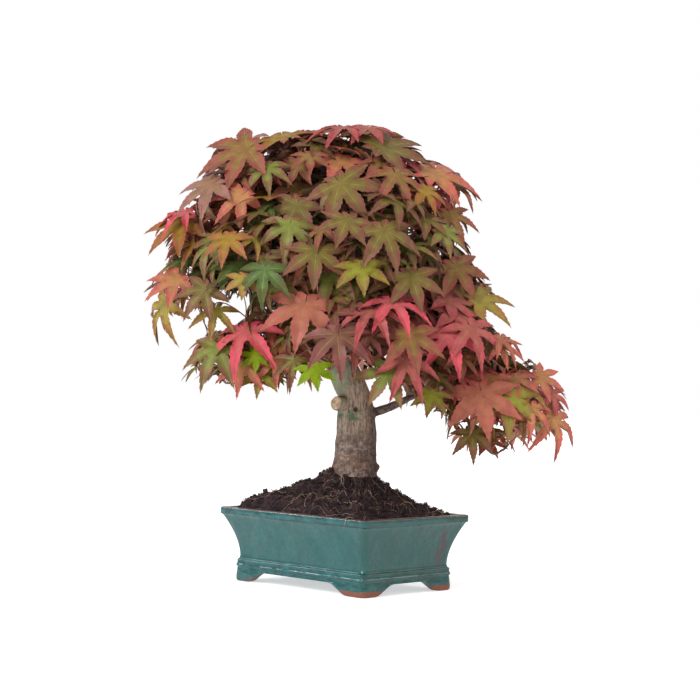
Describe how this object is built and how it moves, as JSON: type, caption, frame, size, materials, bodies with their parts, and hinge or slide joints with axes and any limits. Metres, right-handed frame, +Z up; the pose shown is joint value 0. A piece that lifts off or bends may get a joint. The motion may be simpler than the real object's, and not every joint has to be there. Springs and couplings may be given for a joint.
{
  "type": "japanese maple bonsai",
  "caption": "Potted japanese maple bonsai in autumn leaf: tapering trunk, boughs and leafy masses over heaped soil in a glazed rectangular pot on bracket feet.",
  "frame": {"origin": "on the ground under the middle of the whole plant's bounding box", "axes": "+Z up; X along the pot's long side; Y along its short side, with the pot's two pictured faces towards -Y and +X"},
  "size_m": [0.3632, 0.3494, 0.4465],
  "materials": {
    "glaze": "gloss",
    "dark_soil": "matte",
    "bark": "matte",
    "green_leaves": "satin",
    "olive_leaves": "satin",
    "bronze_leaves": "satin",
    "crimson_leaves": "satin"
  },
  "bodies": {
    "root": {"pot": "glaze", "soil": "dark_soil", "trunk": "bark", "bough_upper_left": "bark", "bough_upper_right": "bark", "bough_upper_front": "bark", "bough_upper_back": "bark", "bough_left": "bark", "bough_left_front": "bark", "bough_right": "bark", "bough_right_front": "bark", "bough_lower_left": "bark", "bough_lower_right": "bark", "bough_lower_front": "bark", "bough_back_left": "bark", "bough_back_right": "bark", "bough_back": "bark", "leaves_apex": "bronze_leaves", "leaves_upper_left": "olive_leaves", "leaves_upper_right": "bronze_leaves", "leaves_upper_front": "crimson_leaves", "leaves_upper_back": "olive_leaves", "leaves_left": "green_leaves", "leaves_left_front": "olive_leaves", "leaves_right": "bronze_leaves", "leaves_right_front": "crimson_leaves", "leaves_lower_left": "crimson_leaves", "leaves_lower_right": "bronze_leaves", "leaves_lower_front": "green_leaves", "leaves_back_left": "green_leaves", "leaves_back_right": "olive_leaves", "leaves_back": "bronze_leaves"}
  },
  "joints": []
}
